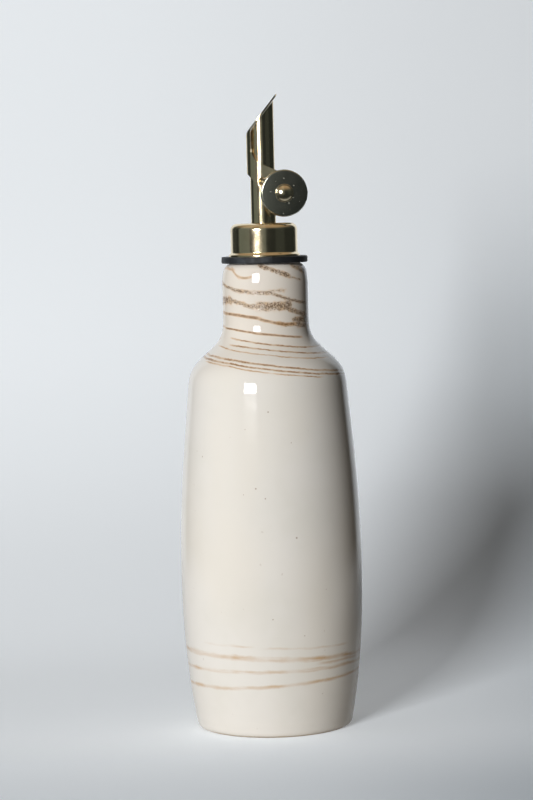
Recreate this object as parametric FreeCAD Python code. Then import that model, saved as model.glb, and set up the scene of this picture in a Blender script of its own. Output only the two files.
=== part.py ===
"""Table oil dispenser: a thrown stoneware bottle with a weighted-flap pourer.

Millimetres, +Z up. The origin is the centre of the foot, on the table. The spout pours towards +X,
and the counterweights hang on the -Y and +Y sides of the spout.
"""
import FreeCAD, Part
import math
import os

# ---- Bottle: outside radii and the heights at which they are reached ----
BOTTLE_HEIGHT = 181.5
FOOT_RADIUS = 28.7          # flat ring that touches the table
FOOT_ROUND = 2.0            # rounded edge of the foot
HEEL_RADIUS = 34.0
HEEL_HEIGHT = 25.0
BELLY_RADIUS = 35.6         # widest place
BELLY_HEIGHT = 67.0
WAIST_RADIUS = 34.55         # where the side draws in below the shoulder
WAIST_HEIGHT = 95.0
SHOULDER_RADIUS = 31.0
SHOULDER_HEIGHT = 135.2     # where the shoulder starts to turn in
SIDE_LEAN = 5.0             # degrees the side leans in there
SHOULDER_ROUND = 13.9
SHOULDER_PITCH = 40.0       # degrees the shoulder's slope stands above level
NECK_RADIUS = 16.85
NECK_ROUND = 11.1           # hollow curve where the shoulder meets the neck
LIP_ROUND = 4.0
LIP_FLAT = 1.0              # least width of the flat top that the stopper's flange rests on

# ---- Bottle: inside ----
WALL = 4.8
FLOOR = 6.0
INNER_FOOT_ROUND = 8.0
NECK_BORE_RADIUS = 11.0
MOUTH_ROUND = 0.8

# ---- Rubber stopper ----
SLIP_FIT = 0.1              # air left all round between pieces pushed into each other
FLANGE_RADIUS = 16.75
FLANGE_THICKNESS = 2.5
FLANGE_EDGE_ROUND = 0.5
PLUG_LENGTH = 24.0
PLUG_TAPER = 1.1            # how much smaller the plug's radius is at its tip
PLUG_TIP_ROUND = 1.5

# ---- Brass cap over the stopper's core ----
CAP_RADIUS = 13.05
CAP_HEIGHT = 12.9
CAP_WALL = 1.0
CAP_ROUND = 2.6
CAP_RIM_WIDTH = 0.85        # turned-out rim at the cap's lower edge
CAP_RIM_HEIGHT = 0.7
CAP_RIM_ROUND = 0.6

# ---- Spout tube ----
TUBE_RADIUS = 4.85
TUBE_WALL = 0.7
MOUTH_SLOPE = 51.5          # degrees the cut mouth stands above level
MOUTH_RISE = 41.2           # cap's top to the cut mouth's middle

# ---- Flap: one bent sheet, a lid on a saddle that straddles the tube ----
SHEET = 0.6
LID_GAP = 0.15              # air between the closed lid and the tube's mouth
LID_BEND = 4.0              # outer radius of the bend from the lid down into the saddle
SADDLE_GAP = 0.65           # air between the saddle and the tube
PIVOT_RISE = 15.9           # cap's top to the hinge axis
PIVOT_RADIUS = 1.4
PIVOT_CLEARANCE = 0.08
PIVOT_REACH = 0.5           # how far each pivot boss stands into the tube's outline
PIVOT_ROOT = 0.7            # extra radius of the pressed boss at the sheet
HUB_RADIUS = 2.2            # metal around the hinge axis, down to the cheek's lower edge
DIMPLE_RADIUS = 1.9
DIMPLE_DEPTH = 0.9
SIDE_NOTCH_X = 4.3          # the cheek's front edge lies this far back from the tube's axis
SIDE_NOTCH_RISE = 8.6       # the cheek's upper corner above the hinge axis
SIDE_NOTCH_ROUND = 6.8
ARM_FALL = 23.5             # degrees the cheek's upper edge falls towards the weight
EAR_BEND_GAP = 0.2          # the ears start to turn in this far in front of the tube
EAR_TOE_IN = 6.0            # degrees the ears turn in towards each other
EAR_LENGTH = 18.0           # blank length, longer than the ear that is left by its outline

# ---- Counterweights, each riveted to an ear ----
WEIGHT_RADIUS = 9.1
WEIGHT_THICKNESS = 2.8
WEIGHT_ROUND = 0.6
WEIGHT_REACH = 8.0          # rivet's axis from the tube's axis, on the ear's outer face
WEIGHT_DROP = 4.5           # rivet's axis below the hinge axis
PAD_MARGIN = 4.1            # how much the ear's end pad is smaller than the weight
RIVET_RADIUS = 1.5
COLLAR_RADIUS = 3.5
COLLAR_HEIGHT = 0.5
COLLAR_ROUND = 0.2
DOME_RADIUS = 2.95
DOME_HEIGHT = 1.0
TAIL_RADIUS = 2.4           # rivet's head on the inner side of the ear
TAIL_HEIGHT = 0.8
TAIL_ROUND = 0.3

# ---- Places that follow from the sizes above ----
FLANGE_TOP = BOTTLE_HEIGHT + FLANGE_THICKNESS
CAP_TOP = FLANGE_TOP + CAP_HEIGHT
CAP_INNER_RADIUS = CAP_RADIUS - CAP_WALL
PLUG_BOTTOM = BOTTLE_HEIGHT - PLUG_LENGTH
TUBE_HOLE_RADIUS = TUBE_RADIUS + SLIP_FIT
MOUTH_Z = CAP_TOP + MOUTH_RISE
PIVOT_Z = CAP_TOP + PIVOT_RISE
SADDLE_INNER = TUBE_RADIUS + SADDLE_GAP
SADDLE_OUTER = SADDLE_INNER + SHEET
EAR_BEND_X = TUBE_RADIUS + EAR_BEND_GAP
WEIGHT_Z = PIVOT_Z - WEIGHT_DROP
WEIGHT_Y = SADDLE_OUTER - (WEIGHT_REACH - EAR_BEND_X) * math.tan(math.radians(EAR_TOE_IN))
PAD_RADIUS = WEIGHT_RADIUS - PAD_MARGIN
FAR = 100.0                 # longer than any piece that it cuts or bounds

ORIGIN = FreeCAD.Vector(0, 0, 0)
AXIS_X = FreeCAD.Vector(1, 0, 0)
AXIS_Y = FreeCAD.Vector(0, 1, 0)
AXIS_Z = FreeCAD.Vector(0, 0, 1)


def flat(x, z):
    """A point of the XZ plane, in which every outline is drawn."""
    return FreeCAD.Vector(x, 0, z)


def line(start, end):
    return Part.LineSegment(start, end).toShape()


def arc_about(centre, radius, start_deg, end_deg):
    """Arc in the XZ plane. Angles run from +X towards +Z."""
    points = []
    for angle in (start_deg, (start_deg + end_deg) / 2, end_deg):
        turn = math.radians(angle)
        points.append(centre + flat(radius * math.cos(turn), radius * math.sin(turn)))
    return Part.Arc(*points).toShape()


def rounded_outline(corners):
    """Closed outline from (x, z, round) corners, each round made a tangent arc."""
    starts, ends, arcs = [], [], []
    for index, (x, z, radius) in enumerate(corners):
        here = flat(x, z)
        before = flat(*corners[index - 1][:2]) - here
        after = flat(*corners[(index + 1) % len(corners)][:2]) - here
        before.normalize()
        after.normalize()
        if radius == 0:
            starts.append(here)
            ends.append(here)
            arcs.append(None)
            continue
        half = before.getAngle(after) / 2
        reach = radius / math.tan(half)
        middle = before + after
        middle.normalize()
        crown = here + middle * (radius / math.sin(half) - radius)
        starts.append(here + before * reach)
        ends.append(here + after * reach)
        arcs.append(Part.Arc(starts[-1], crown, ends[-1]).toShape())
    edges = []
    for index, arc in enumerate(arcs):
        if arc is not None:
            edges.append(arc)
        following = starts[(index + 1) % len(corners)]
        if ends[index].distanceToPoint(following) > 1e-6:
            edges.append(line(ends[index], following))
    return Part.Wire(edges)


def turned(wire):
    """Solid turned about the Z axis from a closed outline on one side of it."""
    return Part.Face(wire).revolve(ORIGIN, AXIS_Z, 360)


def extruded(wire, half_width):
    """Plate from a closed outline in the XZ plane, centred on Y = 0."""
    plate = Part.Face(wire).extrude(AXIS_Y * (2 * half_width))
    plate.translate(AXIS_Y * -half_width)
    return plate


def facing(solid, side):
    """Turn a piece made along +Z to point out along Y on the given side."""
    placed = solid.copy()
    placed.rotate(ORIGIN, AXIS_X, -90 * side)
    return placed


def on_ear(solid, side):
    """Set a piece made along +Z on an ear, square to its outer face at the rivet's axis."""
    placed = facing(solid, side)
    placed.rotate(ORIGIN, AXIS_Z, -EAR_TOE_IN * side)
    placed.translate(FreeCAD.Vector(WEIGHT_REACH, side * WEIGHT_Y, WEIGHT_Z))
    return placed


# ---- Bottle ----

def body_side(inset, low_radius, low_height):
    """The bottle's long side, from just above the foot to the shoulder, moved in by inset."""
    stations = [
        flat(low_radius, low_height),
        flat(HEEL_RADIUS - inset, HEEL_HEIGHT),
        flat(BELLY_RADIUS - inset, BELLY_HEIGHT),
        flat(WAIST_RADIUS - inset, WAIST_HEIGHT),
        flat(SHOULDER_RADIUS - inset, SHOULDER_HEIGHT),
    ]
    curve = Part.BSplineCurve()
    lean_in = flat(-math.tan(math.radians(SIDE_LEAN)), 1)
    curve.interpolate(stations, InitialTangent=flat(0.2, 1), FinalTangent=lean_in)
    return curve.toShape()


def shoulder_and_neck(side_radius, corner_round, neck_radius, hollow_round, top):
    """Edges from the top of the side over the shoulder and up the neck to height top."""
    lean = 90 - SHOULDER_PITCH
    cos_lean = math.cos(math.radians(lean))
    sin_lean = math.sin(math.radians(lean))
    corner_x = side_radius - corner_round * math.cos(math.radians(SIDE_LEAN))
    corner_z = SHOULDER_HEIGHT - corner_round * math.sin(math.radians(SIDE_LEAN))
    corner = arc_about(flat(corner_x, corner_z), corner_round, SIDE_LEAN, lean)
    slope_start = flat(corner_x + corner_round * cos_lean, corner_z + corner_round * sin_lean)
    slope_end_x = neck_radius + hollow_round * (1 - cos_lean)
    slope_rise = (slope_start.x - slope_end_x) * math.tan(math.radians(SHOULDER_PITCH))
    slope_end = flat(slope_end_x, slope_start.z + slope_rise)
    neck_base_z = slope_end.z + hollow_round * sin_lean
    hollow = arc_about(flat(neck_radius + hollow_round, neck_base_z), hollow_round, 180 + lean, 180)
    neck = line(flat(neck_radius, neck_base_z), flat(neck_radius, top))
    return [corner, line(slope_start, slope_end), hollow, neck]


def bottle_outside():
    side_foot = flat(FOOT_RADIUS + FOOT_ROUND, FOOT_ROUND)
    neck_wall = NECK_RADIUS - NECK_BORE_RADIUS
    lip_round = min(LIP_ROUND, neck_wall - MOUTH_ROUND - LIP_FLAT)
    lip_low = BOTTLE_HEIGHT - lip_round
    lip_inner = NECK_RADIUS - lip_round
    edges = [
        line(ORIGIN, flat(FOOT_RADIUS, 0)),
        arc_about(flat(FOOT_RADIUS, FOOT_ROUND), FOOT_ROUND, -90, 0),
        body_side(0, side_foot.x, side_foot.z),
    ]
    edges += shoulder_and_neck(SHOULDER_RADIUS, SHOULDER_ROUND, NECK_RADIUS, NECK_ROUND, lip_low)
    edges += [
        arc_about(flat(lip_inner, lip_low), lip_round, 0, 90),
        line(flat(lip_inner, BOTTLE_HEIGHT), flat(0, BOTTLE_HEIGHT)),
        line(flat(0, BOTTLE_HEIGHT), ORIGIN),
    ]
    return turned(Part.Wire(edges))


def bottle_cavity():
    low_radius = FOOT_RADIUS + FOOT_ROUND - WALL
    low_height = FLOOR + INNER_FOOT_ROUND
    bend_z = BOTTLE_HEIGHT - MOUTH_ROUND
    mouth_radius = NECK_BORE_RADIUS + MOUTH_ROUND
    floor_edge = low_radius - INNER_FOOT_ROUND
    edges = [
        line(flat(0, FLOOR), flat(floor_edge, FLOOR)),
        arc_about(flat(floor_edge, low_height), INNER_FOOT_ROUND, -90, 0),
        body_side(WALL, low_radius, low_height),
    ]
    edges += shoulder_and_neck(SHOULDER_RADIUS - WALL, SHOULDER_ROUND - WALL,
                               NECK_BORE_RADIUS, NECK_ROUND + WALL, bend_z)
    edges += [
        arc_about(flat(mouth_radius, bend_z), MOUTH_ROUND, 180, 90),
        line(flat(mouth_radius, BOTTLE_HEIGHT), flat(0, BOTTLE_HEIGHT)),
        line(flat(0, BOTTLE_HEIGHT), flat(0, FLOOR)),
    ]
    return turned(Part.Wire(edges))


def make_bottle():
    return bottle_outside().cut(bottle_cavity())


# ---- Stopper and cap ----

def make_stopper():
    """Rubber: a tapered plug in the neck, a flange on the lip and a core inside the cap."""
    plug_radius = NECK_BORE_RADIUS - SLIP_FIT
    core_radius = CAP_INNER_RADIUS - SLIP_FIT
    core_top = CAP_TOP - CAP_WALL
    return turned(rounded_outline([
        (TUBE_HOLE_RADIUS, PLUG_BOTTOM, 0),
        (plug_radius - PLUG_TAPER, PLUG_BOTTOM, PLUG_TIP_ROUND),
        (plug_radius, BOTTLE_HEIGHT, 0),
        (FLANGE_RADIUS, BOTTLE_HEIGHT, FLANGE_EDGE_ROUND),
        (FLANGE_RADIUS, FLANGE_TOP, FLANGE_EDGE_ROUND),
        (core_radius, FLANGE_TOP, 0),
        (core_radius, core_top, CAP_ROUND - CAP_WALL + SLIP_FIT),
        (TUBE_HOLE_RADIUS, core_top, 0),
    ]))


def make_cap():
    """Pressed brass cup, open below, with a hole for the tube and a turned-out lower rim."""
    rim_radius = CAP_RADIUS + CAP_RIM_WIDTH
    rim_top = FLANGE_TOP + CAP_RIM_HEIGHT
    roof = CAP_TOP - CAP_WALL
    return turned(rounded_outline([
        (CAP_INNER_RADIUS, FLANGE_TOP, 0),
        (rim_radius, FLANGE_TOP, 0),
        (rim_radius, rim_top, CAP_RIM_HEIGHT / 2),
        (CAP_RADIUS, rim_top + CAP_RIM_WIDTH, CAP_RIM_ROUND),
        (CAP_RADIUS, CAP_TOP, CAP_ROUND),
        (TUBE_HOLE_RADIUS, CAP_TOP, 0),
        (TUBE_HOLE_RADIUS, roof, 0),
        (CAP_INNER_RADIUS, roof, CAP_ROUND - CAP_WALL),
    ]))


# ---- Spout ----

def mouth_slab(low, high):
    """Slab parallel to the slanted mouth, between two heights measured square to it."""
    slab = Part.makeBox(FAR, FAR, high - low, FreeCAD.Vector(-FAR / 2, -FAR / 2, low))
    slab.rotate(ORIGIN, AXIS_Y, -MOUTH_SLOPE)
    slab.translate(AXIS_Z * MOUTH_Z)
    return slab


def make_spout_tube():
    length = MOUTH_Z + TUBE_RADIUS * math.tan(math.radians(MOUTH_SLOPE)) - PLUG_BOTTOM
    foot = AXIS_Z * PLUG_BOTTOM
    outside = Part.makeCylinder(TUBE_RADIUS, length, foot)
    bore = Part.makeCylinder(TUBE_RADIUS - TUBE_WALL, length, foot)
    hole_start = FreeCAD.Vector(0, -TUBE_RADIUS, PIVOT_Z)
    hole_radius = PIVOT_RADIUS + PIVOT_CLEARANCE
    pivot_holes = Part.makeCylinder(hole_radius, 2 * TUBE_RADIUS, hole_start, AXIS_Y)
    return outside.cut(bore).cut(mouth_slab(0, FAR)).cut(pivot_holes)


# ---- Flap ----

def straddle(radius, bend_x):
    """Block with a half-round back, straight sides to bend_x, and then sides that turn in."""
    turn = math.radians(EAR_TOE_IN)
    height = MOUTH_Z + FAR / 2
    end_x = bend_x + EAR_LENGTH * math.cos(turn)
    end_y = radius - EAR_LENGTH * math.sin(turn)
    plan = [(0, -radius), (bend_x, -radius), (end_x, -end_y),
            (end_x, end_y), (bend_x, radius), (0, radius)]
    corners = [FreeCAD.Vector(x, y, 0) for x, y in plan]
    front = Part.Face(Part.makePolygon(corners + corners[:1])).extrude(AXIS_Z * height)
    return Part.makeCylinder(radius, height).fuse(front)


def under_roof(clear, back_radius, bend):
    """Space below a roof parallel to the mouth, bent down at the back to a vertical wall."""
    slope = math.radians(MOUTH_SLOPE)
    roof_z = MOUTH_Z + clear / math.cos(slope)
    low_z = PIVOT_Z + SIDE_NOTCH_RISE
    rise = FAR * math.tan(slope)
    return extruded(rounded_outline([
        (-back_radius, low_z, 0),
        (-back_radius, roof_z - back_radius * math.tan(slope), bend),
        (FAR, roof_z + rise, 0),
        (FAR, low_z, 0),
    ]), FAR)


def cheek_outline():
    """Side view of the saddle and its cheeks.

    The lower edge is the common tangent of the hub round the hinge axis and the pad behind
    the weight. The upper edge falls from the notch to the pad's far side.
    """
    across = math.hypot(WEIGHT_REACH, WEIGHT_DROP)
    swing = math.atan2(WEIGHT_DROP, WEIGHT_REACH) + math.asin((PAD_RADIUS - HUB_RADIUS) / across)
    touch_x = WEIGHT_REACH - PAD_RADIUS * math.sin(swing)
    touch_z = WEIGHT_Z - PAD_RADIUS * math.cos(swing)
    back_x = -2 * SADDLE_OUTER
    end_x = WEIGHT_REACH + PAD_RADIUS
    notch_z = PIVOT_Z + SIDE_NOTCH_RISE
    end_z = notch_z - (end_x + SIDE_NOTCH_X) * math.tan(math.radians(ARM_FALL))
    return rounded_outline([
        (back_x, MOUTH_Z, 0),
        (-SIDE_NOTCH_X, MOUTH_Z, 0),
        (-SIDE_NOTCH_X, notch_z, SIDE_NOTCH_ROUND),
        (end_x, end_z, PAD_RADIUS),
        (end_x, touch_z - (end_x - touch_x) * math.tan(swing), PAD_RADIUS),
        (back_x, touch_z + (touch_x - back_x) * math.tan(swing), 0),
    ])


def pivot_boss(side):
    """Boss pressed inward from one cheek, which turns in the tube's pivot hole."""
    tip = TUBE_RADIUS - PIVOT_REACH
    neck = TUBE_RADIUS + SLIP_FIT
    root = SADDLE_INNER + SHEET / 2
    boss = turned(rounded_outline([
        (0, tip, 0),
        (PIVOT_RADIUS, tip, 0),
        (PIVOT_RADIUS, neck, 0),
        (PIVOT_RADIUS + PIVOT_ROOT, SADDLE_INNER, 0),
        (PIVOT_RADIUS + PIVOT_ROOT, root, 0),
        (0, root, 0),
    ]))
    boss = facing(boss, side)
    boss.translate(AXIS_Z * PIVOT_Z)
    return boss


def dimple(side):
    """Ball that hollows the outside of a pivot boss."""
    ball_radius = (DIMPLE_RADIUS ** 2 + DIMPLE_DEPTH ** 2) / (2 * DIMPLE_DEPTH)
    centre_y = side * (SADDLE_OUTER - DIMPLE_DEPTH + ball_radius)
    return Part.makeSphere(ball_radius, FreeCAD.Vector(0, centre_y, PIVOT_Z))


def make_flap():
    inner_bend_x = EAR_BEND_X - SHEET * math.tan(math.radians(EAR_TOE_IN / 2))
    outside = straddle(SADDLE_OUTER, EAR_BEND_X)
    inside = straddle(SADDLE_INNER, inner_bend_x)
    below_top = under_roof(LID_GAP + SHEET, SADDLE_OUTER, LID_BEND)
    below_lid = under_roof(LID_GAP, SADDLE_INNER, LID_BEND - SHEET)
    lid = Part.makeCylinder(SADDLE_OUTER, MOUTH_Z + FAR / 2).common(below_top).cut(below_lid)
    cheeks = outside.cut(inside).common(extruded(cheek_outline(), 2 * SADDLE_OUTER))
    above_top = mouth_slab(LID_GAP + SHEET, FAR)
    bend_start = FreeCAD.Vector(-FAR, -FAR / 2, PIVOT_Z + SIDE_NOTCH_RISE)
    outside_bend = Part.makeBox(FAR, FAR, FAR, bend_start).cut(below_top)
    cheeks = cheeks.cut(above_top).cut(outside_bend)
    flap = lid.fuse([cheeks, pivot_boss(-1), pivot_boss(1)])
    flap = flap.cut([dimple(-1), dimple(1)])
    rivet_hole = Part.makeCylinder(RIVET_RADIUS + SLIP_FIT, 4 * SHEET, AXIS_Z * (-2 * SHEET))
    return flap.cut([on_ear(rivet_hole, -1), on_ear(rivet_hole, 1)]).removeSplitter()


# ---- Counterweights. Heights are measured out from the ear's outer face ----

def make_weight(side):
    disc = turned(rounded_outline([
        (RIVET_RADIUS + SLIP_FIT, 0, 0),
        (WEIGHT_RADIUS, 0, WEIGHT_ROUND),
        (WEIGHT_RADIUS, WEIGHT_THICKNESS, WEIGHT_ROUND),
        (RIVET_RADIUS + SLIP_FIT, WEIGHT_THICKNESS, 0),
    ]))
    return on_ear(disc, side)


def rivet_dome(base, rim):
    """Shallow dome on the axis, with its rim at height rim and a short drum below it to base."""
    ball_radius = (DOME_RADIUS ** 2 + DOME_HEIGHT ** 2) / (2 * DOME_HEIGHT)
    centre = flat(0, rim + DOME_HEIGHT - ball_radius)
    rim_turn = math.degrees(math.atan2(ball_radius - DOME_HEIGHT, DOME_RADIUS))
    return turned(Part.Wire([
        line(flat(0, base), flat(DOME_RADIUS, base)),
        line(flat(DOME_RADIUS, base), flat(DOME_RADIUS, rim)),
        arc_about(centre, ball_radius, rim_turn, 90),
        line(flat(0, rim + DOME_HEIGHT), flat(0, base)),
    ]))


def make_rivet(side):
    """Domed head with a collar on the weight, a shank, and a flat tail inside the ear."""
    collar_top = WEIGHT_THICKNESS + COLLAR_HEIGHT
    body = turned(rounded_outline([
        (0, -SHEET - TAIL_HEIGHT, 0),
        (TAIL_RADIUS, -SHEET - TAIL_HEIGHT, TAIL_ROUND),
        (TAIL_RADIUS, -SHEET, 0),
        (RIVET_RADIUS, -SHEET, 0),
        (RIVET_RADIUS, WEIGHT_THICKNESS, 0),
        (COLLAR_RADIUS, WEIGHT_THICKNESS, 0),
        (COLLAR_RADIUS, collar_top, COLLAR_ROUND),
        (0, collar_top, 0),
    ]))
    return on_ear(body.fuse(rivet_dome(WEIGHT_THICKNESS, collar_top)).removeSplitter(), side)


PIECES = {
    "bottle": make_bottle(),
    "stopper": make_stopper(),
    "cap": make_cap(),
    "spout_tube": make_spout_tube(),
    "flap": make_flap(),
}
for label, way in (("front", -1), ("back", 1)):
    PIECES["weight_" + label] = make_weight(way)
    PIECES["rivet_" + label] = make_rivet(way)

os.makedirs("parts", exist_ok=True)
for name, shape in PIECES.items():
    solids = shape.Solids
    print(name, "solids", len(solids), "valid", shape.isValid(), "volume", round(shape.Volume, 1))
    solids[0].exportStep("parts/" + name + ".step")
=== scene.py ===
# %% [markdown]
# # A stoneware oil bottle with a weighted-flap pourer
#
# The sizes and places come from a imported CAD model, which this file loads first and never moves.
# Blender adds what CAD leaves plain: the uneven wall of a bottle thrown by hand, the dark clay
# streaks under its glaze, the polished brass of the pourer, the rubber of its stopper, and light.
#
# Each step has a few words first on what the piece is, how it could be made, and why it is made
# the way it is. All lengths are in metres, and names that end in _MM are in millimetres.

import bpy
import math

from mathutils import Matrix, Vector
from mathutils.bvhtree import BVHTree


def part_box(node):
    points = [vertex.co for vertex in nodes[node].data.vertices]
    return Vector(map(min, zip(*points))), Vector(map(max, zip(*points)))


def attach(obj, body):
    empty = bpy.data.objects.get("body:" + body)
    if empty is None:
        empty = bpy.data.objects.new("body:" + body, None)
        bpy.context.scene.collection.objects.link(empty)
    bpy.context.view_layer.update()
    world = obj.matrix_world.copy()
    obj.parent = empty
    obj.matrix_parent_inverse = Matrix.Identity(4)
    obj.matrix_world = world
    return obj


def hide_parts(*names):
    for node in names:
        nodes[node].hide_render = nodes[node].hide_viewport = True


MM = 0.001
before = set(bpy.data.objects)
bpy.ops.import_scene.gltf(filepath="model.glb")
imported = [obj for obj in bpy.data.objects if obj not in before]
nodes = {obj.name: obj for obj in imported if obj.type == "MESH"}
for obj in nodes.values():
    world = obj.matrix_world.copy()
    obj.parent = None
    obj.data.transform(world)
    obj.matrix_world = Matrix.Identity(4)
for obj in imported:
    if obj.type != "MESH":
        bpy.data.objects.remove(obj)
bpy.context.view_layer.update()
bottle_low, bottle_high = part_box("bottle")
print("nodes:", sorted(nodes))

# %% [markdown]
# ## Camera
#
# A long lens from about a metre away keeps the bottle's sides nearly upright. The camera stands
# as high as the pourer and looks down a little, so the foot shows as a shallow curve. It is also
# rolled by a little over one degree, as a hand-held camera is, so the bottle leans to the left.

# %% Camera
CAMERA_DISTANCE = 1.024
CAMERA_HEIGHT = 0.2084
CAMERA_SIDE = -0.0005
LOOK_DOWN_DEG = 4.5
ROLL_DEG = 1.35
LENS_MM = 118.2
SENSOR_MM = 36

camera_data = bpy.data.cameras.new("camera")
camera_data.sensor_width = SENSOR_MM
camera_data.lens = LENS_MM
camera = bpy.data.objects.new("camera", camera_data)
bpy.context.scene.collection.objects.link(camera)
camera.matrix_world = (
    Matrix.Translation((CAMERA_SIDE, -CAMERA_DISTANCE, CAMERA_HEIGHT))
    @ Matrix.Rotation(math.radians(90 - LOOK_DOWN_DEG), 4, "X")
    @ Matrix.Rotation(math.radians(-ROLL_DEG), 4, "Z")
)
bpy.context.scene.camera = camera
print("camera lens", LENS_MM, "mm, standing", CAMERA_DISTANCE, "m away")

# %% [markdown]
# ## Shader maths that reads like maths
#
# A pattern in a material is arithmetic on the surface's coordinates. Linking Math nodes by hand
# hides that arithmetic, so one small class wraps an output socket and gives it operators. Each
# operator adds its Math node. Subtraction also has a reflected form, for a plain number on its left.

# %% A value that knows arithmetic
class Value:
    """An output socket of a material, with arithmetic that adds Math nodes."""

    def __init__(self, finish, socket):
        self.finish = finish
        self.socket = socket

    def math(self, operation, *inputs):
        node = self.finish.add("ShaderNodeMath", {"operation": operation}, *inputs)
        return Value(self.finish, node.outputs[0])

    def __add__(self, other):
        return self.math("ADD", self, other)

    def __sub__(self, other):
        return self.math("SUBTRACT", self, other)

    def __rsub__(self, other):
        return self.math("SUBTRACT", other, self)

    def __mul__(self, other):
        return self.math("MULTIPLY", self, other)

    def __truediv__(self, other):
        return self.math("DIVIDE", self, other)

    def __pow__(self, other):
        return self.math("POWER", self, other)

    def size(self):
        return self.math("ABSOLUTE", self)

    def root(self):
        return self.math("SQRT", self)

    def at_most(self, other):
        return self.math("MINIMUM", self, other)

    def at_least(self, other):
        return self.math("MAXIMUM", self, other)

    def rise(self, low, high):
        """0 below low, 1 above high, and a smooth step between."""
        node = self.finish.add("ShaderNodeMapRange", {"interpolation_type": "SMOOTHSTEP"},
                               self, low, high, 0.0, 1.0)
        return Value(self.finish, node.outputs[0])

    def fall(self, low, high):
        """1 below low, 0 above high, and a smooth step between."""
        return self.rise(high, low)

# %% [markdown]
# A finish is a material being made. Its one general method adds any node: the node's own settings
# are set first, because they decide which sockets it has, and then values or links go into the
# sockets in order, or by name where the order would be hard to read.

# %% A material being made
class Finish:
    """A node material. It starts with the surface shader and the object's own coordinates."""

    def __init__(self, name, **constants):
        self.material = bpy.data.materials.new(name)
        self.material.use_nodes = True
        self.tree = self.material.node_tree
        self.shader = self.tree.nodes["Principled BSDF"]
        for socket, number in constants.items():
            self.shader.inputs[socket.replace("_", " ")].default_value = number
        place = self.add("ShaderNodeTexCoord")
        self.place = place.outputs["Object"]
        axes = self.add("ShaderNodeSeparateXYZ", {}, self.place)
        self.x, self.y, self.z = (Value(self, axes.outputs[i]) for i in range(3))

    def plug(self, socket, value):
        if isinstance(value, Value):
            value = value.socket
        if isinstance(value, bpy.types.NodeSocket):
            self.tree.links.new(value, socket)
        elif isinstance(value, (tuple, list)) and len(value) == 3 and socket.type == "RGBA":
            socket.default_value = (*value, 1.0)
        else:
            socket.default_value = value

    def add(self, kind, settings=None, *values, **named):
        node = self.tree.nodes.new(kind)
        for setting, choice in (settings or {}).items():
            setattr(node, setting, choice)
        for socket, value in zip(node.inputs, values):
            self.plug(socket, value)
        for socket, value in named.items():
            self.plug(node.inputs[socket.replace("_", " ")], value)
        return node

    def noise(self, per_m, detail=2.0, roughness=0.5, place=None):
        """Even noise between about 0 and 1, with per_m lumps to the metre."""
        node = self.add("ShaderNodeTexNoise", Vector=place or self.place, Scale=per_m,
                        Detail=detail, Roughness=roughness)
        return Value(self, node.outputs["Fac"])

    def ray(self, kind):
        """1 for rays of one kind, such as Camera or Glossy, and 0 for all others."""
        return Value(self, self.add("ShaderNodeLightPath").outputs[f"Is {kind} Ray"])

    def mirrored(self):
        """1 for what a surface mirrors or lets through."""
        return self.ray("Glossy").at_least(self.ray("Transmission"))

    def stretched(self, sx, sy, sz, shift=0.0):
        """The object's coordinates, scaled along each axis and moved, for streaks and spots."""
        node = self.add("ShaderNodeMapping", {}, Vector=self.place, Location=(shift,) * 3,
                        Scale=(sx, sy, sz))
        return node.outputs[0]

    def mix(self, first, second, share):
        """A colour between two others."""
        node = self.add("ShaderNodeMix", {"data_type": "RGBA"})
        self.plug(node.inputs["Factor"], share)
        self.plug(node.inputs[6], first)
        self.plug(node.inputs[7], second)
        return node.outputs[2]

    def relief(self, height, depth, after=None):
        """Small bumps: height runs from 0 to 1, and depth is how deep that is, in metres."""
        node = self.add("ShaderNodeBump", Strength=1.0, Distance=depth, Height=height)
        if after is not None:
            self.plug(node.inputs["Normal"], after)
        return node.outputs["Normal"]

    def surface(self, **sockets):
        for socket, value in sockets.items():
            self.plug(self.shader.inputs[socket.replace("_", " ")], value)
        print("finish", self.material.name, "has", len(self.tree.nodes), "nodes")
        return self.material

# %% [markdown]
# ## The thrown bottle
#
# CAD turns a perfect outline. A thrower's hands leave more: soft rings where the fingers climbed,
# a wall that is a few tenths of a millimetre out of round, a softer lip. The plain way would be to
# model the outline again and turn it with a Screw modifier, but then the CAD outline and this one
# could drift apart. So rays measure the CAD wall, inside and out, and a fresh mesh of even quads
# is laid on what they find. Even quads take displacement and smooth shading well.

# %% Measure the CAD wall
cad_wall = BVHTree.FromPolygons(
    [v.co.copy() for v in nodes["bottle"].data.vertices],
    [tuple(p.vertices) for p in nodes["bottle"].data.polygons],
)
FAR_OUT = 0.2                   # well outside the wall
MEASURED_TURN = 0.37            # in radians: any direction that misses the CAD mesh's seams
MEASURED_AT = Vector((math.cos(MEASURED_TURN), math.sin(MEASURED_TURN), 0))
OFF_AXIS = (0.001, 0.0007)      # on the axis itself, a ray could pass between two triangles
BELLY_Z = 0.067


def wall_radius(height, outside):
    """The CAD wall's radius at a height, met from outside or from the axis."""
    start = Vector((0, 0, height)) + MEASURED_AT * (FAR_OUT if outside else 0)
    met = cad_wall.ray_cast(start, MEASURED_AT * (-1 if outside else 1))[0]
    return math.hypot(met.x, met.y)


def floor_height():
    middle = Vector((*OFF_AXIS, bottle_high.z / 2))
    return cad_wall.ray_cast(middle, Vector((0, 0, -1)))[0].z


FLOOR_Z = floor_height()
print("inner floor at", round(FLOOR_Z / MM, 2), "mm, belly radius",
      round(wall_radius(BELLY_Z, True) / MM, 2), "mm")

# %% Lay rings on it
SEGMENTS = 192
EDGE_ROUND = 0.0045     # heights are closer together within this distance of the foot and the lip
EDGE_STEPS = 12
RING_STEP = 0.0012
SKIN = 0.00002          # how far inside the lip's and the foot's planes the last ray is cast
SOFTENING_PASSES = 4    # each pass rounds the flats between the CAD mesh's own rings


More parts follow.
